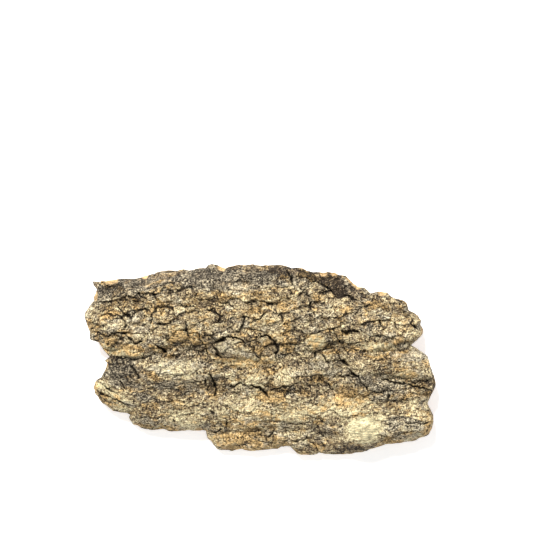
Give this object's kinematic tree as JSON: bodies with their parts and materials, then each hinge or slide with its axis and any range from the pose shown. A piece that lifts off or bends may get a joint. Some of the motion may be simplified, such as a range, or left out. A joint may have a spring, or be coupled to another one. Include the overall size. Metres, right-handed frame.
{
  "type": "cork bark slab",
  "caption": "Flat slab of virgin cork oak bark, with long rough rolls and fissures on its outer face and a shallow arched inner face.",
  "frame": {"origin": "middle of the slab's box in plan, at the level of the three flat low spots that it rests on", "axes": "+X along the grain and the slab's length, +Y across the grain to the longer far edge, +Z out of the rough outer face"},
  "size_m": [0.3048, 0.167, 0.0386],
  "materials": {
    "weathered_cork_bark": "rough, dry, weathered outer cork"
  },
  "bodies": {
    "root": {"cork_bark_slab": "weathered_cork_bark"}
  },
  "joints": []
}
